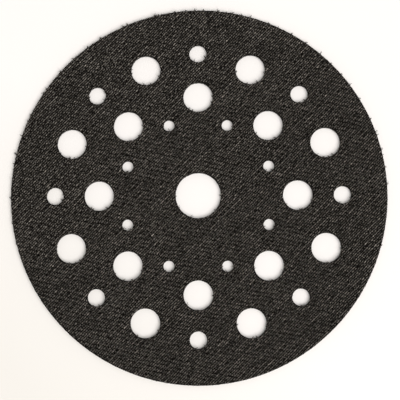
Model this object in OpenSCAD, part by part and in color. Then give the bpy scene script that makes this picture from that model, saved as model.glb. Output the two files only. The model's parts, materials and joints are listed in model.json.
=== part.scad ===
// Multi-hole hook-and-loop pad saver for a 125 mm random orbital sander.
// The disc is a laminate: a woven hook fabric is bonded back to back to a knitted loop fabric, and
// the blank and all its holes are cut through every layer at once.
// The origin is the centre of the loop face. +Z points out of the hook face, and +X runs through
// one hole of the inner dust ring.

/* [Disc] */
// Outside diameter of the disc
disc_d = 123; // [110:0.5:127]

/* [Loop fabric, the side that grips the backing pad] */
// Height of the brushed loops
loop_pile_t = 0.70; // [0.4:0.05:1.5]
// Thickness of the knitted ground that carries the loops
loop_knit_t = 0.30; // [0.15:0.05:0.6]
// Thickness of the binder that locks the loops' feet
loop_binder_t = 0.10; // [0.05:0.01:0.3]

/* [Bond between the two fabrics] */
// Thickness of the hot-melt film
film_t = 0.15; // [0.05:0.01:0.5]

/* [Hook fabric, the side that grips the abrasive] */
// Thickness of the binder that locks the hooks' roots
hook_binder_t = 0.10; // [0.05:0.01:0.3]
// Thickness of the woven ground that carries the hooks
hook_weave_t = 0.35; // [0.2:0.05:0.6]
// Height of the monofilament hooks
hook_pile_t = 0.80; // [0.5:0.05:1.5]

/* [Centre hole] */
// Diameter of the hole for the pad screw's head
centre_d = 15; // [8:0.5:20]

/* [Dust holes] */
// Diameter of a main dust hole, on both main rings
port_d = 9.8; // [8:0.1:10]
// Pitch circle of the inner main ring
inner_pcd = 65; // [62:0.5:66]
// Pitch circle of the outer main ring
outer_pcd = 90; // [88:0.5:92]
// Diameter of a small dust hole near the rim
rim_port_d = 5.8; // [4.5:0.1:6.5]
// Pitch circle of the small dust holes near the rim
rim_pcd = 94; // [92:0.5:96]
// Diameter of a vent hole near the centre
vent_d = 3.8; // [2.5:0.1:4]
// Pitch circle of the vent holes near the centre
vent_pcd = 50; // [46:0.5:52]

/* [Hidden] */
$fn = 120;

ring_count = 8;                 // holes on every ring
ring_step = 360 / ring_count;
half_step = ring_step / 2;      // the outer main ring and the vents sit between the other holes
through = 1;                    // how far a cutter runs past each face

// The faces between the layers, counted up from the loop face
loop_knit_z = loop_pile_t;
loop_binder_z = loop_knit_z + loop_knit_t;
film_z = loop_binder_z + loop_binder_t;
hook_binder_z = film_z + film_t;
hook_weave_z = hook_binder_z + hook_binder_t;
hook_pile_z = hook_weave_z + hook_weave_t;
total_t = hook_pile_z + hook_pile_t;

// One upright cutter, long enough for every layer
module cutter(d) {
    translate([0, 0, -through])
        cylinder(d = d, h = total_t + 2 * through);
}

// A ring of equal holes on one pitch circle, the first at the angle given
module hole_ring(pcd, d, first) {
    for (k = [0 : ring_count - 1])
        rotate([0, 0, first + k * ring_step])
            translate([pcd / 2, 0, 0])
                cutter(d);
}

module all_holes() {
    cutter(centre_d);
    hole_ring(vent_pcd, vent_d, half_step);
    hole_ring(inner_pcd, port_d, 0);
    hole_ring(outer_pcd, port_d, half_step);
    hole_ring(rim_pcd, rim_port_d, 0);
}

// One layer of the laminate, from height z upwards
module layer(z, t) {
    difference() {
        translate([0, 0, z])
            cylinder(d = disc_d, h = t);
        all_holes();
    }
}

// Brushed loops, which lie on the sander's backing pad
module loop_pile() {
    color("#2b2927") layer(0, loop_pile_t);
}

// Warp-knitted ground of the loop fabric
module loop_knit() {
    color("#242220") layer(loop_knit_z, loop_knit_t);
}

// Binder on the back of the loop fabric
module loop_root_binder() {
    color("#1c1b1a") layer(loop_binder_z, loop_binder_t);
}

// Hot-melt film that joins the two fabrics
module laminating_film() {
    color("#38342f") layer(film_z, film_t);
}

// Binder on the back of the hook fabric
module hook_root_binder() {
    color("#1c1b1a") layer(hook_binder_z, hook_binder_t);
}

// Ribbed woven ground of the hook fabric
module hook_weave() {
    color("#262421") layer(hook_weave_z, hook_weave_t);
}

// The space that the rows of monofilament hooks fill, as one closed solid
module hook_pile() {
    color("#34302c") layer(hook_pile_z, hook_pile_t);
}

loop_pile();
loop_knit();
loop_root_binder();
laminating_film();
hook_root_binder();
hook_weave();
hook_pile();
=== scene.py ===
"""Looks of a multi-hole hook-and-loop pad saver for a 125 mm random orbital sander.

The disc lies loop side down. Its rows of monofilament hooks, the ribs of the weave that carries
them, the brushed loops below and the frayed fibres at every cut edge are all real geometry.
"""

import json
import math

import bpy
import numpy as np
from mathutils import Matrix, Vector

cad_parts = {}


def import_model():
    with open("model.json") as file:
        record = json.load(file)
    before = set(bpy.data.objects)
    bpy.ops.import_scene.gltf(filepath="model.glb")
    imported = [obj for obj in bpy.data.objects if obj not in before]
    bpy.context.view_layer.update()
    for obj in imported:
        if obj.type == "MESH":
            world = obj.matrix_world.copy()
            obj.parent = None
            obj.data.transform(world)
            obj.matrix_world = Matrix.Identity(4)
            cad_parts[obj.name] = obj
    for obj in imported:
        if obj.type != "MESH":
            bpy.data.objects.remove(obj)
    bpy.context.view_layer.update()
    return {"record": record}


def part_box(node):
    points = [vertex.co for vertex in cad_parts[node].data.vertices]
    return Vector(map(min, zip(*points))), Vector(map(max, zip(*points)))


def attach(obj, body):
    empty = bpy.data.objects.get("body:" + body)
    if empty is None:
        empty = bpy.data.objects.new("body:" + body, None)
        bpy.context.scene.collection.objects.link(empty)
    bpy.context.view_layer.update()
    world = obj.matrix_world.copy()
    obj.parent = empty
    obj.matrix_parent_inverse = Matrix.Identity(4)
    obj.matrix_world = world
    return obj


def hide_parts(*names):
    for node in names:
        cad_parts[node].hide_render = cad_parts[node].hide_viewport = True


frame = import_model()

MM = 0.001

# ---------------------------------------------------------------- sizes, from the frame

MOUNTS = {m["name"]: m for m in frame["record"]["mounts"]}
DISC_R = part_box("hook_weave")[1].y
WEAVE_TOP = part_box("hook_weave")[1].z
WEAVE_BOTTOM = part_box("hook_weave")[0].z
HOOK_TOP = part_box("hook_pile")[1].z
LOOP_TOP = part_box("loop_pile")[1].z
KNIT_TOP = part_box("loop_knit")[1].z

HALF_STEP = math.pi / 8  # the outer main ring and the vents sit between the other holes


def ring(mount, first):
    """The holes of one ring as rows of x, y and radius."""
    dims = MOUNTS[mount]["dims"]
    angles = first + np.arange(dims["count"]) * 2 * math.pi / dims["count"]
    r = dims["pcd_mm"] / 2 * MM
    size = np.full(len(angles), dims["hole_r_mm"] * MM)
    return np.stack([r * np.cos(angles), r * np.sin(angles), size], axis=1)


HOLES = np.concatenate([
    [[0, 0, MOUNTS["centre_hole"]["dims"]["r_mm"] * MM]],
    ring("vent_ring", HALF_STEP),
    ring("inner_dust_ring", 0),
    ring("outer_dust_ring", HALF_STEP),
    ring("rim_dust_ring", 0),
])

# ---------------------------------------------------------------- the weave's own lattice

ROW_ANGLE = math.pi / 4          # hook rows and ribs run along this direction
HOOK_ROW_GAP = 1.34 * MM         # from one row of hooks to the next
HOOK_PITCH = 1.68 * MM           # from hook to hook along a row
RIB_GAP = HOOK_ROW_GAP / 2       # every second rib carries hooks
ALONG = np.array([math.cos(ROW_ANGLE), math.sin(ROW_ANGLE)])
ACROSS = np.array([-math.sin(ROW_ANGLE), math.cos(ROW_ANGLE)])


def to_xy(u, v):
    """Lattice coordinates, along and across the rows, to x and y."""
    return u[..., None] * ALONG + v[..., None] * ACROSS


def clearance(xy):
    """How far points are inside the cut outline: negative in a hole or past the rim."""
    inside = DISC_R - np.linalg.norm(xy, axis=-1)
    for x, y, r in HOLES:
        inside = np.minimum(inside, np.hypot(xy[..., 0] - x, xy[..., 1] - y) - r)
    return inside


def drift(xy):
    """The weave's slow wander off its straight lines, as on any cloth pulled through a loom."""
    x, y = xy[..., 0] / MM, xy[..., 1] / MM
    du = 0.22 * np.sin(0.11 * x + 0.05 * y + 0.7) + 0.12 * np.sin(0.23 * y - 0.17 * x)
    dv = 0.16 * np.sin(0.09 * y - 0.06 * x + 2.1) + 0.07 * np.sin(0.31 * x + 0.19 * y)
    return (du[..., None] * ALONG + dv[..., None] * ACROSS) * MM


# ---------------------------------------------------------------- mesh helpers

NO_TRIS = np.zeros((0, 3), int)


def mesh_piece(name, verts, quads, tris, material, slot, tone=None):
    """An object from arrays of points, four-sided faces and three-sided faces.

    tone is how light the yarn or filament is drawn at each point, for materials that read it: its
    own lightness, and on the ribs also painted shade where they dive.
    """
    mesh = bpy.data.meshes.new(name)
    verts = np.asarray(verts, np.float32).reshape(-1, 3)
    quads = np.asarray(quads, np.int32).reshape(-1, 4)
    tris = np.asarray(tris, np.int32).reshape(-1, 3)
    mesh.vertices.add(len(verts))
    mesh.vertices.foreach_set("co", verts.ravel())
    loops = np.concatenate([quads.ravel(), tris.ravel()])
    mesh.loops.add(len(loops))
    mesh.loops.foreach_set("vertex_index", loops)
    starts = np.concatenate([np.arange(len(quads)) * 4, quads.size + np.arange(len(tris)) * 3])
    mesh.polygons.add(len(starts))
    mesh.polygons.foreach_set("loop_start", starts.astype(np.int32))
    mesh.polygons.foreach_set("use_smooth", np.full(len(starts), True))
    mesh.update(calc_edges=True)
    if tone is not None:
        mesh.attributes.new("tone", "FLOAT", "POINT").data.foreach_set("value", tone.ravel())
    mesh.validate()
    mesh.materials.append(material)
    obj = bpy.data.objects.new(name, mesh)
    bpy.context.collection.objects.link(obj)
    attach(obj, "root")
    return obj


def tubes(paths, radii, side_axis, sides):
    """Closed round tubes along many paths with equally many points: points, quads and end caps.

    side_axis is a vector for each path that no part of it runs along.
    """
    count, rings, _ = paths.shape
    run = np.gradient(paths, axis=1)
    run /= np.linalg.norm(run, axis=2, keepdims=True)
    up = np.cross(run, side_axis[:, None, :])
    up /= np.linalg.norm(up, axis=2, keepdims=True)
    side = np.cross(up, run)
    turn = np.arange(sides) * 2 * math.pi / sides
    spoke = (
        np.cos(turn)[None, None, :, None] * side[:, :, None, :]
        + np.sin(turn)[None, None, :, None] * up[:, :, None, :]
    )
    points = paths[:, :, None, :] + spoke * radii[:, :, None, None]
    first = np.arange(count)[:, None, None] * rings * sides
    here = np.arange(rings - 1)[None, :, None] * sides
    k = np.arange(sides)[None, None, :]
    a = first + here + k
    b = first + here + (k + 1) % sides
    quads = np.stack([a, b, b + sides, a + sides], axis=-1).reshape(-1, 4)
    fan = np.arange(1, sides - 1)
    start = np.arange(count)[:, None] * rings * sides
    end = start + (rings - 1) * sides
    low = np.stack([start + 0 * fan, start + fan + 1, start + fan], axis=-1)
    high = np.stack([end + 0 * fan, end + fan, end + fan + 1], axis=-1)
    caps = np.concatenate([low.reshape(-1, 3), high.reshape(-1, 3)])
    return points.reshape(-1, 3), quads, caps


def joined(parts):
    """Several (points, quads, triangles) as one."""
    points, quads, tris, base = [], [], [], 0
    for p, q, t in parts:
        points.append(p)
        quads.append(q + base)
        tris.append(t + base)
        base += len(p)
    return np.concatenate(points), np.concatenate(quads), np.concatenate(tris)


# ---------------------------------------------------------------- materials

class Nodes:
    """A material's node tree, with short calls for the nodes that this script uses."""

    def __init__(self, name):
        self.material = bpy.data.materials.new(name)
        self.material.use_nodes = True
        self.tree = self.material.node_tree
        self.shader = self.tree.nodes["Principled BSDF"]

    def add(self, kind, **values):
        node = self.tree.nodes.new(kind)
        for key, value in values.items():
            if key in node.inputs:
                node.inputs[key].default_value = value
            else:
                setattr(node, key, value)
        return node

    def link(self, source, target):
        self.tree.links.new(source, target)

    def place(self):
        return self.add("ShaderNodeTexCoord").outputs["Object"]

    def noise(self, scale, detail=2.0, roughness=0.5, at=None):
        node = self.add("ShaderNodeTexNoise", Scale=scale, Detail=detail, Roughness=roughness)
        self.link(at or self.place(), node.inputs["Vector"])
        return node.outputs["Fac"]

    def tone(self):
        """How light the mesh says that each point is."""
        return self.add("ShaderNodeAttribute", attribute_name="tone").outputs["Fac"]

    def tinted(self, colour, gloss, grain):
        """The colour and the gloss given, both scaled by the mesh's tone and by a grain; on the yarn
        that grain is painted glints, and on the ribs the tone holds painted shade.
        """
        level = self.add("ShaderNodeMath", operation="MULTIPLY")
        self.link(self.tone(), level.inputs[0])
        self.link(grain, level.inputs[1])
        scaled = self.add("ShaderNodeVectorMath", operation="SCALE")
        self.link(colour, scaled.inputs["Vector"])
        self.link(level.outputs["Value"], scaled.inputs["Scale"])
        self.link(scaled.outputs["Vector"], self.shader.inputs["Base Color"])
        shine = self.add("ShaderNodeMath", operation="MULTIPLY", use_clamp=True)
        self.link(level.outputs["Value"], shine.inputs[0])
        shine.inputs[1].default_value = gloss
        self.link(shine.outputs["Value"], self.shader.inputs["Specular IOR Level"])

    def ramp(self, factor, stops):
        node = self.add("ShaderNodeValToRGB")
        elements = node.color_ramp.elements
        while len(elements) < len(stops):
            elements.new(0.5)
        for element, (position, colour) in zip(elements, stops):
            element.position = position
            element.color = (*colour, 1)
        self.link(factor, node.inputs["Fac"])
        return node.outputs["Color"]

    def spread(self, factor, low, high, half=0.2):
        """The factor's middle range, half a side around 0.5, mapped to low..high."""
        node = self.add("ShaderNodeMapRange")
        node.inputs["From Min"].default_value = 0.5 - half
        node.inputs["From Max"].default_value = 0.5 + half
        node.inputs["To Min"].default_value = low
        node.inputs["To Max"].default_value = high
        self.link(factor, node.inputs["Value"])
        return node.outputs["Result"]

    def bump(self, height, distance, strength=1.0):
        node = self.add("ShaderNodeBump", Strength=strength, Distance=distance)
        self.link(height, node.inputs["Height"])
        self.link(node.outputs["Normal"], self.shader.inputs["Normal"])

    def set(self, **values):
        for key, value in values.items():
            self.shader.inputs[key.replace("_", " ")].default_value = value


def turned_to_rows(nodes, along, across, upward):
    """Object coordinates in the rows' own directions, scaled for a texture that follows them."""
    mapping = nodes.add("ShaderNodeMapping", vector_type="TEXTURE")
    mapping.inputs["Rotation"].default_value = (0, 0, ROW_ANGLE)
    mapping.inputs["Scale"].default_value = (along, across, upward)
    nodes.link(nodes.place(), mapping.inputs["Vector"])
    return mapping.outputs["Vector"]


def monofilament_material():
    """Black nylon monofilament: each hook a little lighter or browner than the next, and glossy."""
    nodes = Nodes("black_monofilament")
    scuffs = nodes.noise(4000, 2.0)
    colour = nodes.ramp(scuffs, [(0.35, (0.020, 0.019, 0.018)), (0.65, (0.042, 0.040, 0.038))])
    nodes.tinted(colour, gloss=0.6, grain=nodes.spread(nodes.noise(2500), 0.4, 1.8))
    nodes.link(nodes.spread(nodes.noise(2400), 0.18, 0.36), nodes.shader.inputs["Roughness"])
    nodes.set(IOR=1.53)
    nodes.bump(nodes.noise(9000, 3.0), 0.01 * MM, 0.5)
    return nodes.material


def yarn_material():
    """Multifilament nylon warp: fine filaments along each rib, its colour lightened in short beads
    as painted glints.
    """
    nodes = Nodes("black_warp_yarn")
    length = turned_to_rows(nodes, 1.6 * MM, 0.12 * MM, 0.3 * MM)
    streak = nodes.noise(1.0, 3.0, 0.6, at=length)
    glint_beads = turned_to_rows(nodes, 0.40 * MM, 0.55 * MM, 0.55 * MM)
    # painted glints: the yarn's colour, and its gloss with it, scaled up in short beads along each
    # rib
    glints = nodes.spread(nodes.noise(1.0, 0.0, at=glint_beads), 0.18, 2.15, 0.12)
    colour = nodes.ramp(streak, [(0.35, (0.037, 0.034, 0.029)), (0.65, (0.108, 0.099, 0.085))])
    nodes.tinted(colour, gloss=0.34, grain=glints)
    thread = turned_to_rows(nodes, 0.5 * MM, 0.035 * MM, 0.06 * MM)
    filament = nodes.noise(1.0, 2.0, at=thread)
    nodes.link(nodes.spread(filament, 0.28, 0.46), nodes.shader.inputs["Roughness"])
    nodes.bump(filament, 0.03 * MM, 0.8)
    return nodes.material


def layer_material(name, dark, light, rough, grain, gloss=0.3):
    """Packed fibres or film, seen mostly as a cut edge at the rim and on the holes' walls.

    rough is the middle of the roughness, and grain is the scale of the unevenness.
    """
    nodes = Nodes(name)
    streak = nodes.noise(grain, 4.0, 0.65)
    nodes.link(nodes.ramp(streak, [(0.35, dark), (0.65, light)]), nodes.shader.inputs["Base Color"])
    roughness = nodes.spread(nodes.noise(grain * 2), rough - 0.12, rough + 0.12)
    nodes.link(roughness, nodes.shader.inputs["Roughness"])
    nodes.set(Specular_IOR_Level=gloss)
    nodes.bump(nodes.noise(grain * 1.7, 4.0), 0.10 * MM, 1.0)
    return nodes.material


def loop_material():
    """Brushed black polyamide loops: hairs combed along the rows, greyer on their crests."""
    nodes = Nodes("brushed_loop_fibre")
    brushed = turned_to_rows(nodes, 0.9 * MM, 0.09 * MM, 0.12 * MM)
    hairs = nodes.noise(1.0, 4.0, 0.6, at=brushed)
    colour = nodes.ramp(hairs, [(0.35, (0.008, 0.0074, 0.0068)), (0.65, (0.046, 0.0425, 0.039))])
    nodes.link(colour, nodes.shader.inputs["Base Color"])
    nodes.link(nodes.spread(nodes.noise(3000), 0.62, 0.85), nodes.shader.inputs["Roughness"])
    nodes.set(Sheen_Weight=0.35, Sheen_Roughness=0.5, Specular_IOR_Level=0.3)
    nodes.bump(hairs, 0.14 * MM, 1.0)
    return nodes.material


MONOFILAMENT = monofilament_material()
YARN = yarn_material()
LOOP_FIBRE = loop_material()
# painted shade: the weft between the ribs is made far darker than the yarn, for the shade in the
# gaps between them
WEFT_WITH_PAINTED_SHADE = layer_material(
    "black_weft_painted_shade", (0.002, 0.0018, 0.0016), (0.006, 0.005, 0.004), rough=0.75, grain=2600, gloss=0.04)
KNIT = layer_material(
    "black_knit", (0.010, 0.009, 0.008), (0.028, 0.026, 0.023), rough=0.7, grain=2600, gloss=0.1)

# The layers whose CAD solids stay: each keeps its shape and gets its own material
for node, dark, light, rough, grain in (
    ("hook_root_binder", (0.008, 0.008, 0.008), (0.016, 0.015, 0.014), 0.42, 1500),
    ("laminating_film", (0.016, 0.015, 0.014), (0.032, 0.030, 0.028), 0.38, 900),
    ("loop_root_binder", (0.008, 0.008, 0.008), (0.016, 0.015, 0.014), 0.42, 1500),
):
    material = layer_material(node, dark, light, rough, grain)
    bpy.data.objects[node].material_slots[0].material = material

# ---------------------------------------------------------------- hooks

FILAMENT_R = 0.09 * MM
HOOK_SIDES = 5
HOOK_LEG_RINGS = 3
HOOK_ARC_RINGS = 6
STUB_RINGS = 3
ROOT_DEPTH = 0.10 * MM            # how far each foot runs down into the weave
HOOK_H = HOOK_TOP - WEAVE_TOP
HOOK_BANDS = 4                    # the hooks are made as this many pieces of neighbouring rows
HOOK_BEND = 0.26                  # middle radius of a hook's arc, in millimetres
HOOK_OVER = 205                   # degrees that a hook's arc usually turns through
SEVERED_SHARE = 0.7               # of the hooks whose tips reach over a cut edge
STUB_GAP = 0.12                   # from a hook's far side to its stub, in millimetres
STUB_H = 0.24                     # a stub's middle height, in millimetres


def hook_roots():
    """Staggered points of the hook lattice that lie on the cloth, with each one's row number."""
    rows = np.arange(-int(DISC_R / HOOK_ROW_GAP) - 2, int(DISC_R / HOOK_ROW_GAP) + 3)
    steps = np.arange(-int(DISC_R / HOOK_PITCH) - 2, int(DISC_R / HOOK_PITCH) + 3)
    row, step = (a.ravel() for a in np.meshgrid(rows, steps, indexing="ij"))
    xy = to_xy((step + 0.5 * (row % 2)) * HOOK_PITCH, row * HOOK_ROW_GAP)
    xy = xy + drift(xy)
    keep = clearance(xy) > 0.12 * MM
    return xy[keep], row[keep]


def upright(root, forward, s, z):
    """Points at distance s ahead of each root in its hook's upright plane, at height z."""
    points = np.empty((*s.shape, 3))
    points[..., :2] = root[:, None, :] + s[..., None] * forward[:, None, :]
    points[..., 2] = z
    return points


def hooks(name, root, rng):
    """Cut loops of monofilament: a hook at each root, and the stub that its tip was cut from."""
    count = len(root)
    brushed = 0.16 * np.sin(root[:, 0] / MM * 0.13 + 1.0) * np.cos(root[:, 1] / MM * 0.11)
    turn = ROW_ANGLE + brushed + rng.normal(0, math.radians(11), count)
    forward = np.stack([np.cos(turn), np.sin(turn)], axis=1)
    side = np.stack([-forward[:, 1], forward[:, 0], np.zeros(count)], axis=1)

    height = HOOK_H * np.clip(rng.normal(0.93, 0.07, count), 0.70, 1.05)
    bend = MM * np.clip(rng.normal(HOOK_BEND, 0.03, count), 0.18, 0.34)
    over = np.radians(np.clip(rng.normal(HOOK_OVER, 18, count), 150, 245))
    tip = root + forward * (2 * bend)[:, None]
    severed = (clearance(tip) < 0) & (rng.random(count) < SEVERED_SHARE)
    over[severed] = np.radians(rng.uniform(50, 105, severed.sum()))

    leg_top = WEAVE_TOP + height - FILAMENT_R - bend
    rise = np.linspace(0, 1, HOOK_LEG_RINGS + 1)[None, :-1]
    foot_z = WEAVE_TOP - ROOT_DEPTH
    leg_z = foot_z + rise * (leg_top - foot_z)[:, None]
    leg_s = MM * rng.normal(-0.03, 0.04, count)[:, None] * (1 - rise)
    arc = np.linspace(0, 1, HOOK_ARC_RINGS)[None, :] * over[:, None]
    arc_s = bend[:, None] * (1 - np.cos(arc))
    arc_z = leg_top[:, None] + bend[:, None] * np.sin(arc)
    s = np.concatenate([leg_s, arc_s], axis=1)
    z = np.concatenate([leg_z, arc_z], axis=1)
    path = upright(root, forward, s, z)
    sway = rng.normal(0, 0.10, count)[:, None] * (z - WEAVE_TOP)
    path += side[:, None, :] * sway[..., None]
    thick = FILAMENT_R * np.clip(rng.normal(1, 0.06, count), 0.85, 1.15)
    hook_rings = s.shape[1]
    hook = tubes(path, np.repeat(thick[:, None], hook_rings, axis=1), side, HOOK_SIDES)

    stub_s = 2 * bend + MM * rng.normal(STUB_GAP, 0.03, count)
    kept = clearance(root + forward * stub_s[:, None]) > 0.05 * MM
    rise = np.linspace(0, 1, STUB_RINGS)[None, :]
    stub_h = MM * np.clip(rng.normal(STUB_H, 0.08, count), 0.06, 0.45)
    z = foot_z + rise * (stub_h + ROOT_DEPTH)[:, None]
    s = stub_s[:, None] + rise * MM * rng.normal(-0.02, 0.05, count)[:, None]
    path = upright(root, forward, s, z)[kept]
    stub = tubes(path, np.repeat(thick[kept, None], STUB_RINGS, axis=1), side[kept], HOOK_SIDES)

    lightness = rng.lognormal(0.2, 0.5, count)
    tone = np.concatenate([
        np.repeat(lightness, hook_rings * HOOK_SIDES),
        np.repeat(lightness[kept], STUB_RINGS * HOOK_SIDES),
    ])
    piece = mesh_piece(name, *joined([hook, stub]), MONOFILAMENT, "hook_monofilament", tone)
    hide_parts("hook_pile")


def all_hooks():
    root, row = hook_roots()
    edges = np.quantile(row, np.linspace(0, 1, HOOK_BANDS + 1))
    edges[-1] += 1
    rng = np.random.default_rng(11)
    for band in range(HOOK_BANDS):
        mine = (row >= edges[band]) & (row < edges[band + 1])
        hooks(f"hook_rows_{band + 1}", root[mine], rng)


# ---------------------------------------------------------------- the weave's warp ribs

RIB_W = 0.50 * MM
RIB_TOP = WEAVE_TOP + 0.06 * MM       # crest of a rib where its yarn floats
RIB_DIVE = 0.34 * MM                  # how much lower it runs where it passes under the weft
RIB_FOOT = WEAVE_TOP - 0.33 * MM
RIB_STEP = HOOK_PITCH / 7
CUT_FUZZ = 0.04 * MM                  # unevenness of the die's cut through yarns
HOOK_RIB_TONE = 1.19                  # ribs that carry hooks look lighter than the plain ones
PLAIN_RIB_TONE = 0.84
SEARCH_STEPS = (0.4, 0.2, 0.1, 0.05, 0.025)   # in millimetres, towards the cut and back


def spans(v):
    """The stretches of one rib's line that lie on the cloth, as pairs of distances along it."""
    u = np.arange(-DISC_R, DISC_R, 0.05 * MM)
    xy = to_xy(u, np.full(len(u), v))
    on = clearance(xy + drift(xy)) > -0.12 * MM
    change = np.flatnonzero(np.diff(np.r_[False, on, False].astype(int)))
    return [(u[a], u[b - 1]) for a, b in zip(change[::2], change[1::2]) if b - a > 10]


def pushed_inside(points, margin):
    """Points of a mesh, with those past the cut outline moved back to just inside it."""
    xy = points[..., :2]
    far = np.linalg.norm(xy, axis=-1)
    limit = DISC_R - margin
    xy *= np.where(far > limit, limit / np.maximum(far, 1e-9), 1.0)[..., None]
    for x, y, r in HOLES:
        off = xy - (x, y)
        near = np.maximum(np.linalg.norm(off, axis=-1), 1e-9)
        inside = near < r + margin
        xy += np.where(inside, (r + margin) / near - 1, 0.0)[..., None] * off
    return points


def drifted_clearance(u, v):
    """How far inside the cut outline a point of the drifted lattice is."""
    xy = to_xy(np.array([u]), np.array([v]))
    return clearance(xy + drift(xy))[0]


def line_end(v, u, rng, outward):
    """Where one long edge of a rib meets the same cut as the rib's middle does at distance u."""
    best = u
    for step in SEARCH_STEPS:
        ahead = best + outward * step * MM
        if drifted_clearance(ahead, v) > 0:
            best = ahead
    for step in SEARCH_STEPS:
        if drifted_clearance(best, v) < 0:
            best -= outward * step * MM
    return best + outward * rng.normal(0, CUT_FUZZ)


def rib(v, number, u0, u1, rng):
    """One stretch of warp yarn: a strand that floats over the weft and dives under it.

    The places where it floats shift by a quarter of a hook's pitch from each rib to the next.
    """
    rings = max(3, round((u1 - u0) / RIB_STEP) + 1)
    even = np.linspace(0, 1, rings)
    middle = u0 + even * (u1 - u0)
    phase = 2 * math.pi * (middle / HOOK_PITCH + number / 4)
    own = rng.uniform(0, 2 * math.pi)
    lift = 0.5 + 0.27 * np.cos(phase) + 0.20 * np.cos(2 * phase + own)
    wide = RIB_W * (0.78 + 0.22 * lift) * np.clip(rng.normal(1, 0.08, rings), 0.8, 1.2)
    high = RIB_TOP - RIB_DIVE * (1 - lift) + rng.normal(0, 0.03, rings) * MM
    sway = rng.normal(0, 0.02, rings) * MM
    corners = ((-0.5, 0.0), (-0.24, 1.0), (0.24, 1.0), (0.5, 0.0))
    points = np.empty((rings, len(corners), 3))
    for k, (share, up) in enumerate(corners):
        edge = v + share * RIB_W
        start, end = line_end(edge, u0, rng, -1), line_end(edge, u1, rng, 1)
        u = start + even * (end - start)
        xy = to_xy(u, v + share * wide + sway)
        points[:, k, :2] = xy + drift(xy)
        points[:, k, 2] = RIB_FOOT + up * (high - RIB_FOOT)
    points = pushed_inside(points, 0.02 * MM)
    float_number = np.floor(phase / (2 * math.pi) + 0.5).astype(int)
    lightness = rng.lognormal(-0.035, 0.26, float_number[-1] - float_number[0] + 1)
    row_tone = PLAIN_RIB_TONE if number % 2 else HOOK_RIB_TONE
    # painted shade: the yarn's colour darkens where the rib dives under the weft, times its row's
    # tone and each float's random lightness
    tone = row_tone * (0.22 + 0.78 * lift) * lightness[float_number - float_number[0]]
    sides = len(corners)
    here = np.arange(rings - 1)[:, None] * sides
    a, b = here + np.arange(sides), here + (np.arange(sides) + 1) % sides
    quads = np.stack([a, a + sides, b + sides, b], axis=-1).reshape(-1, 4)
    last = (rings - 1) * sides
    ends = np.array([[0, 1, 2, 3], [last + 3, last + 2, last + 1, last]])
    shape = points.reshape(-1, 3), np.concatenate([quads, ends]), NO_TRIS
    return shape, np.repeat(tone, sides)


def all_ribs():
    """Ribs that carry hooks, and the plain ribs between them."""
    rng = np.random.default_rng(23)
    reach = int(DISC_R / RIB_GAP) + 1
    pieces = []
    for name, odd, first, last in (
        ("hook_bearing_ribs_near", 0, -reach, -1),
        ("hook_bearing_ribs_far", 0, 0, reach),
        ("plain_ribs_near", 1, -reach, -1),
        ("plain_ribs_far", 1, 0, reach),
    ):
        parts = [
            rib(n * RIB_GAP, n, u0, u1, rng)
            for n in range(first, last + 1) if n % 2 == odd
            for u0, u1 in spans(n * RIB_GAP)
        ]
        shapes, tones = zip(*parts)
        tone = np.concatenate(tones)
        piece = mesh_piece(name, *joined(shapes), YARN, "hook_ground", tone)
        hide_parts("hook_weave")
        pieces.append(piece)
    return pieces


# ---------------------------------------------------------------- cloths and the brushed nap

def cut_grid(step):
    """A grid over the disc, cut to its outline: points, quads, and the edges that the cut made."""
    n = int(DISC_R / step) + 2
    line = np.arange(-n, n + 1) * step
    gu, gv = np.meshgrid(line, line, indexing="ij")
    xy = to_xy(gu, gv)
    side = 2 * n + 1
    on = clearance(xy) > 0.25 * step
    number = np.arange(side * side).reshape(side, side)
    cells = on[:-1, :-1].astype(int) + on[1:, :-1] + on[1:, 1:] + on[:-1, 1:]
    middle = clearance((xy[:-1, :-1] + xy[1:, 1:]) / 2)
    keep = (cells >= 2) & (middle > 0.05 * step)
    quads = np.stack([number[:-1, :-1], number[1:, :-1], number[1:, 1:], number[:-1, 1:]], -1)[keep]
    used, quads = np.unique(quads, return_inverse=True)
    quads = quads.reshape(-1, 4)
    xy = xy.reshape(-1, 2)[used]
    edges = np.concatenate([quads[:, [k, (k + 1) % 4]] for k in range(4)])
    _, where, times = np.unique(np.sort(edges, 1), axis=0, return_index=True, return_counts=True)
    rim = edges[where[times == 1]]
    return onto_outline(xy, np.unique(rim)), quads, rim


def onto_outline(xy, which):
    """Moves the chosen points to the nearest hole's or the rim's circle."""
    some = xy[which]
    far = np.linalg.norm(some, axis=1)
    best = np.abs(far - DISC_R)
    place = some * (DISC_R / np.maximum(far, 1e-9))[:, None]
    for x, y, r in HOLES:
        off = some - (x, y)
        near = np.maximum(np.linalg.norm(off, axis=1), 1e-9)
        closer = np.abs(near - r) < best
        best = np.where(closer, np.abs(near - r), best)
        place[closer] = ((x, y) + off * (r / near)[:, None])[closer]
    xy = xy.copy()
    xy[which] = place
    return xy


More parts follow.
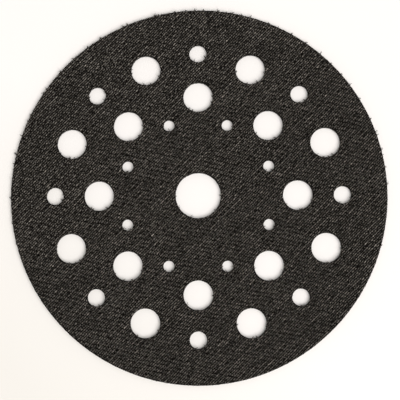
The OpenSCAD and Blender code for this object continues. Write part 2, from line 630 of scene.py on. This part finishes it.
def cloth(name, step, low, high, wall_rings, fuzz, material, slot, rng):
    """A closed sheet between two height functions of the points, its cut edge made uneven.

    Its wall has wall_rings rows of faces, whose points are pushed in and out by about fuzz.
    """
    xy, quads, rim = cut_grid(step)
    count = len(xy)
    z_low, z_high = low(xy), high(xy)
    points = [np.c_[xy, z_low], np.c_[xy, z_high]]
    faces = [quads[:, ::-1], quads + count]
    edge, local = np.unique(rim, return_inverse=True)
    local = local.reshape(-1, 2)
    below, base = edge, 2 * count
    outward = xy[edge] / np.linalg.norm(xy[edge], axis=1)[:, None]
    toward = np.sign(clearance(xy[edge] + outward * 0.3 * MM))
    outward *= np.where(toward > 0, -1, 1)[:, None]
    for k in range(1, wall_rings + 1):
        if k == wall_rings:
            above = edge + count
        else:
            share = k / wall_rings
            push = rng.normal(0, fuzz, len(edge))[:, None] * outward
            points.append(np.c_[xy[edge] + push, z_low[edge] + share * (z_high - z_low)[edge]])
            above = base + np.arange(len(edge))
            base += len(edge)
        faces.append(np.stack([below[local[:, 0]], below[local[:, 1]],
                               above[local[:, 1]], above[local[:, 0]]], -1))
        below = above
    return mesh_piece(name, np.concatenate(points), np.concatenate(faces), NO_TRIS, material, slot)


def waves(xy, length, seed):
    """Smooth unevenness of about unit height, from a few crossing waves."""
    rng = np.random.default_rng(seed)
    total = np.zeros(len(xy))
    for _ in range(7):
        angle, k = rng.uniform(0, math.pi), 2 * math.pi / (length * rng.uniform(0.7, 1.5))
        total += np.sin(k * (xy[:, 0] * math.cos(angle) + xy[:, 1] * math.sin(angle))
                        + rng.uniform(0, 6.28))
    return total / 3


def hook_cloth():
    """The woven ground between and below the ribs."""
    rng = np.random.default_rng(31)
    piece = cloth(
        "hook_cloth", 0.62 * MM,
        lambda xy: np.full(len(xy), WEAVE_BOTTOM),
        lambda xy: WEAVE_TOP - 0.27 * MM + 0.03 * MM * waves(xy, 2.2 * MM, 5),
        wall_rings=3, fuzz=0.05 * MM, material=WEFT_WITH_PAINTED_SHADE, slot="hook_ground", rng=rng)
    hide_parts("hook_weave")
    return piece


def loop_cloth():
    """The warp-knitted ground of the loop fabric."""
    rng = np.random.default_rng(37)
    piece = cloth(
        "loop_cloth", 0.70 * MM,
        lambda xy: LOOP_TOP + 0.04 * MM * waves(xy, 1.8 * MM, 6),
        lambda xy: np.full(len(xy), KNIT_TOP),
        wall_rings=3, fuzz=0.05 * MM, material=KNIT, slot="loop_ground", rng=rng)
    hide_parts("loop_knit")
    return piece


NAP_LOW = 0.17 * MM               # the lowest that the dense nap reaches
NAP_TUFT = 0.16 * MM              # how much its underside rises and falls


def loop_nap():
    """The dense part of the brushed pile, whose soft tufts end a little above the floor."""
    rng = np.random.default_rng(41)

    def underside(xy):
        return NAP_LOW + NAP_TUFT * (0.5 + 0.5 * np.clip(waves(xy, 2.2 * MM, 8), -1, 1))

    piece = cloth(
        "loop_nap", 0.62 * MM, underside,
        lambda xy: np.full(len(xy), LOOP_TOP),
        wall_rings=4, fuzz=0.09 * MM, material=LOOP_FIBRE, slot="loop_pile", rng=rng)
    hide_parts("loop_pile")
    return piece


FIBRE_SIDES = 3                   # loops and frayed ends are too thin to need rounder tubes
FIBRE_TONE = 0.5                  # frayed ends are darker than the yarns that they come from
LOOP_R = 0.028 * MM
LOOP_TOP_Z = NAP_LOW + 0.17 * MM  # both feet of a loop are this high, up in the nap
LOOP_COUNT = 7200                 # in each of the pieces that the loops are made as
LOOP_PIECES = 3


def scattered(count, rng, margin):
    """Random points on the cloth, at most count, each at least margin inside every cut."""
    xy = rng.uniform(-DISC_R, DISC_R, (count * 2, 2))
    return xy[clearance(xy) > margin][:count]


def nap_loops(name, rng):
    """Long loops of fibre, combed along the rows, that hang out of the nap's underside."""
    root = scattered(LOOP_COUNT, rng, 0.1 * MM)
    count = len(root)
    turn = ROW_ANGLE + rng.normal(0, 0.55, count)
    forward = np.stack([np.cos(turn), np.sin(turn)], axis=1)
    side = np.stack([-forward[:, 1], forward[:, 0], np.zeros(count)], axis=1)
    t = np.linspace(0, math.pi, 5)[None, :]
    span = MM * rng.uniform(0.7, 1.9, count)[:, None]
    drop = MM * rng.uniform(0.16, 0.30, count)[:, None]
    s = span * (1 - np.cos(t)) / 2
    z = LOOP_TOP_Z - drop * np.sin(t)
    path = upright(root, forward, s, z)
    path += side[:, None, :] * (MM * rng.normal(0, 0.09, s.shape))[..., None]
    path[..., :2] = pushed_inside(path, 0.04 * MM)[..., :2]
    radii = LOOP_R * rng.uniform(0.8, 1.3, (count, 1)) * np.ones(s.shape)
    piece = mesh_piece(name, *tubes(path, radii, side, FIBRE_SIDES), LOOP_FIBRE, "loop_pile")
    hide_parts("loop_pile")
    return piece


def all_nap_loops():
    rng = np.random.default_rng(43)
    return [nap_loops(f"nap_loops_{k + 1}", rng) for k in range(LOOP_PIECES)]


# ---------------------------------------------------------------- frayed fibres at the cuts

def outline_points(spacing, rng):
    """Points along the rim and every hole, with the direction out of the cloth at each."""
    points, outward = [], []
    for x, y, r, sign in [(0, 0, DISC_R, 1)] + [(*hole, -1) for hole in HOLES]:
        n = max(4, int(2 * math.pi * r / spacing))
        a = (np.arange(n) + rng.uniform(0, 1, n)) * 2 * math.pi / n
        away = np.stack([np.cos(a), np.sin(a)], axis=1)
        points.append(np.array([x, y]) + r * away)
        outward.append(sign * away)
    return np.concatenate(points), np.concatenate(outward)


def fibres(name, at, run, z_low, z_high, length, radius, material, slot, rng):
    """Short fibre ends that stick out of the cut edge at each point, along the way it runs."""
    count = len(at)
    reach = length * np.clip(rng.lognormal(0, 0.4, count), 0.35, 1.7)[:, None]
    t = np.linspace(-0.4, 1, 5)[None, :]
    past = np.clip(t, 0, 1) ** 2
    side = np.stack([-run[:, 1], run[:, 0], np.zeros(count)], axis=1)
    path = np.empty((count, 5, 3))
    path[..., :2] = at[:, None, :] + (reach * t)[..., None] * run[:, None, :]
    height = rng.uniform(z_low, z_high, (count, 1))
    droop = rng.normal(0, 0.25, (count, 1))
    path[..., 2] = np.maximum(height + droop * reach * past, radius)
    path += side[:, None, :] * (rng.normal(0, 0.15, (count, 1)) * reach * past)[..., None]
    radii = radius * rng.uniform(0.8, 1.2, (count, 1)) * np.linspace(1, 0.8, 5)[None, :]
    shape = tubes(path, radii, side, FIBRE_SIDES)
    return mesh_piece(name, *shape, material, slot, np.full(len(shape[0]), FIBRE_TONE))


def edge_loops(name, spacing, z_low, z_high, material, slot, rng):
    """Loops of fibre that lie against the cut edge, as the die leaves a pile's outermost ones."""
    at, away = outline_points(spacing, rng)
    count = len(at)
    tangent = np.stack([-away[:, 1], away[:, 0]], axis=1)
    t = np.linspace(-0.2, math.pi + 0.2, 6)[None, :]
    span = MM * rng.uniform(0.15, 0.42, (count, 1))
    rise = (z_high - z_low) * rng.uniform(0.25, 0.6, (count, 1)) * rng.choice([-1, 1], (count, 1))
    out = MM * (rng.uniform(-0.02, 0.02, (count, 1)) + 0.05 * np.sin(t))
    path = np.empty((count, t.shape[1], 3))
    path[..., :2] = at[:, None, :] + out[..., None] * away[:, None, :]
    path[..., :2] -= (span * np.cos(t) / 2)[..., None] * tangent[:, None, :]
    path[..., 2] = rng.uniform(z_low, z_high, (count, 1)) + rise * (np.sin(t) - 0.5)
    path[..., 2] = np.clip(path[..., 2], z_low, z_high)
    radii = np.repeat(LOOP_R * rng.uniform(0.8, 1.2, (count, 1)), t.shape[1], axis=1)
    axis = np.concatenate([away, np.zeros((count, 1))], axis=1)
    return mesh_piece(name, *tubes(path, radii, axis, FIBRE_SIDES), material, slot)


def turned(way, spread, rng):
    """Directions turned at random about the vertical by about spread radians."""
    a = rng.normal(0, spread, len(way))
    c, s = np.cos(a), np.sin(a)
    return np.stack([c * way[:, 0] - s * way[:, 1], s * way[:, 0] + c * way[:, 1]], axis=1)


def yarn_ends(name, spacing, both_ways, strands, length, radius, rng):
    """Ends of cut warp and weft yarns, side by side in tufts, where the outline crosses them."""
    at, run = [], []
    for axis in (ALONG, ACROSS):
        point, away = outline_points(spacing, rng)
        face = away @ axis
        steep = np.abs(face) if both_ways else face
        keep = steep > rng.uniform(0.3, 0.9, len(face))
        at.append(point[keep])
        run.append(turned(np.sign(face[keep])[:, None] * axis, 0.25, rng))
    at, run = np.concatenate(at), np.concatenate(run)
    across = np.stack([-run[:, 1], run[:, 0]], axis=1)
    offsets = (np.arange(strands) - (strands - 1) / 2) * radius * 1.5
    at = np.concatenate([at + offset * across for offset in offsets])
    run = turned(np.concatenate([run] * strands), 0.12 * (strands - 1), rng)
    piece = fibres(name, at, run, WEAVE_BOTTOM, WEAVE_TOP, length, radius, YARN, "hook_ground", rng)
    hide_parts("hook_weave")
    return piece


def all_fibres():
    """The frayed ends of each fabric layer: those of the weave, of the knit and of its pile."""
    rng = np.random.default_rng(53)
    woven = [
        yarn_ends("frayed_yarn_ends", spacing=0.6 * MM, both_ways=True, strands=1,
                  length=0.12 * MM, radius=0.05 * MM, rng=rng),
        yarn_ends("loose_yarn_ends", spacing=5.0 * MM, both_ways=False, strands=3,
                  length=0.52 * MM, radius=0.10 * MM, rng=rng),
    ]
    at, away = outline_points(0.17 * MM, rng)
    nap = fibres("frayed_nap", at, turned(away, 0.5, rng), 0.05 * MM, LOOP_TOP,
                 length=0.12 * MM, radius=0.030 * MM, material=LOOP_FIBRE, slot="loop_pile", rng=rng)
    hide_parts("loop_pile")
    at, away = outline_points(0.40 * MM, rng)
    knit = fibres("frayed_knit_ends", at, turned(away, 0.5, rng), LOOP_TOP, KNIT_TOP,
                  length=0.10 * MM, radius=0.040 * MM, material=KNIT, slot="loop_ground", rng=rng)
    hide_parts("loop_knit")
    edge = edge_loops("edge_loops", 0.22 * MM, 2 * LOOP_R, LOOP_TOP, LOOP_FIBRE, "loop_pile", rng)
    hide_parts("loop_pile")
    stitches = edge_loops("edge_stitches", 0.35 * MM, LOOP_TOP, KNIT_TOP, KNIT, "loop_ground", rng)
    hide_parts("loop_knit")
    return woven, [nap, knit, edge, stitches]


all_hooks()
ribs = all_ribs()
weave = hook_cloth()
knit = loop_cloth()
nap = [loop_nap(), *all_nap_loops()]
woven_ends, knitted_ends = all_fibres()

# ---------------------------------------------------------------- floor, lights and camera

WARM_WHITE = (1.0, 0.955, 0.915)
FLOOR_HALF = 1.6
FALLOFF_START, FALLOFF_END = -0.12, -0.02    # x + y where the painted falloff leaves the paper darkest and warmest, and where it is white


def floor():
    """White paper, with painted shade: darker and warmer towards the near left, where the light
    falls off.
    """
    nodes = Nodes("white_paper")
    place = nodes.add("ShaderNodeSeparateXYZ")
    nodes.link(nodes.place(), place.inputs["Vector"])
    total = nodes.add("ShaderNodeMath", operation="ADD")
    nodes.link(place.outputs["X"], total.inputs[0])
    nodes.link(place.outputs["Y"], total.inputs[1])
    falloff = nodes.add("ShaderNodeMapRange")
    falloff.inputs["From Min"].default_value = FALLOFF_START
    falloff.inputs["From Max"].default_value = FALLOFF_END
    nodes.link(total.outputs["Value"], falloff.inputs["Value"])
    # painted shade: the paper darker and warmer towards the near left, for the light falling off
    # there
    shades = [(0.0, (0.745, 0.745, 0.722)), (1.0, (0.83, 0.83, 0.83))]
    nodes.link(nodes.ramp(falloff.outputs["Result"], shades), nodes.shader.inputs["Base Color"])
    nodes.set(Roughness=0.7, Specular_IOR_Level=0.2)
    corners = [(x * FLOOR_HALF, y * FLOOR_HALF, 0) for x, y in ((-1, -1), (1, -1), (1, 1), (-1, 1))]
    mesh = bpy.data.meshes.new("floor")
    mesh.from_pydata(corners, [], [(0, 1, 2, 3)])
    mesh.materials.append(nodes.material)
    obj = bpy.data.objects.new("floor", mesh)
    bpy.context.collection.objects.link(obj)


def softbox(name, azimuth, elevation, distance, size, power, colour):
    """A square area light that faces the disc from a direction given in degrees."""
    turn, rise = math.radians(azimuth), math.radians(elevation)
    flat = math.cos(rise)
    place = distance * Vector((flat * math.cos(turn), flat * math.sin(turn), math.sin(rise)))
    light = bpy.data.lights.new(name, "AREA")
    light.shape = "SQUARE"
    light.size = size
    light.energy = power
    light.color = colour
    obj = bpy.data.objects.new(name, light)
    obj.location = place
    obj.rotation_euler = (-place).to_track_quat("-Z", "Y").to_euler()
    bpy.context.collection.objects.link(obj)


WALL_TOP = 0.45                   # the sine of the elevation where the walls end


def world(overhead, horizon, colour):
    """Light from all around: a dimmer ceiling over bright walls."""
    studio = bpy.data.worlds.new("studio")
    studio.use_nodes = True
    tree = studio.node_tree
    place = tree.nodes.new("ShaderNodeTexCoord")
    split = tree.nodes.new("ShaderNodeSeparateXYZ")
    level = tree.nodes.new("ShaderNodeMapRange")
    tree.links.new(place.outputs["Generated"], split.inputs["Vector"])
    tree.links.new(split.outputs["Z"], level.inputs["Value"])
    level.inputs["From Max"].default_value = WALL_TOP
    level.inputs["To Min"].default_value = horizon
    level.inputs["To Max"].default_value = overhead
    background = tree.nodes["Background"]
    background.inputs["Color"].default_value = (*colour, 1)
    tree.links.new(level.outputs["Result"], background.inputs["Strength"])
    bpy.context.scene.world = studio


def camera():
    """Looks almost straight down, leaning a little towards the disc's near edge."""
    lens, sensor = 107.7, 36.0
    tilt_x, tilt_y, tilt_z = -0.091, -0.040, 0.002    # radians
    offset = Vector((0.63, -1.50, 390.6)) * MM
    turn = (Matrix.Rotation(tilt_x, 3, "X") @ Matrix.Rotation(tilt_y, 3, "Y")
            @ Matrix.Rotation(tilt_z, 3, "Z")).transposed()
    data = bpy.data.cameras.new("camera")
    data.lens, data.sensor_width = lens, sensor
    data.clip_start = 0.01
    obj = bpy.data.objects.new("camera", data)
    place = turn @ offset + Vector((0, 0, WEAVE_TOP))
    obj.matrix_world = Matrix.Translation(place) @ turn.to_4x4()
    bpy.context.collection.objects.link(obj)
    bpy.context.scene.camera = obj


floor()
softbox("overhead", azimuth=-44, elevation=64, distance=2.2, size=2.0, power=61.2, colour=WARM_WHITE)
world(overhead=0.34, horizon=1.0, colour=WARM_WHITE)
camera()
bpy.context.scene.view_settings.view_transform = "Standard"
# The denoiser is led by the raw surface passes, or it smooths the weave away.
bpy.context.scene.cycles.denoising_prefilter = "NONE"
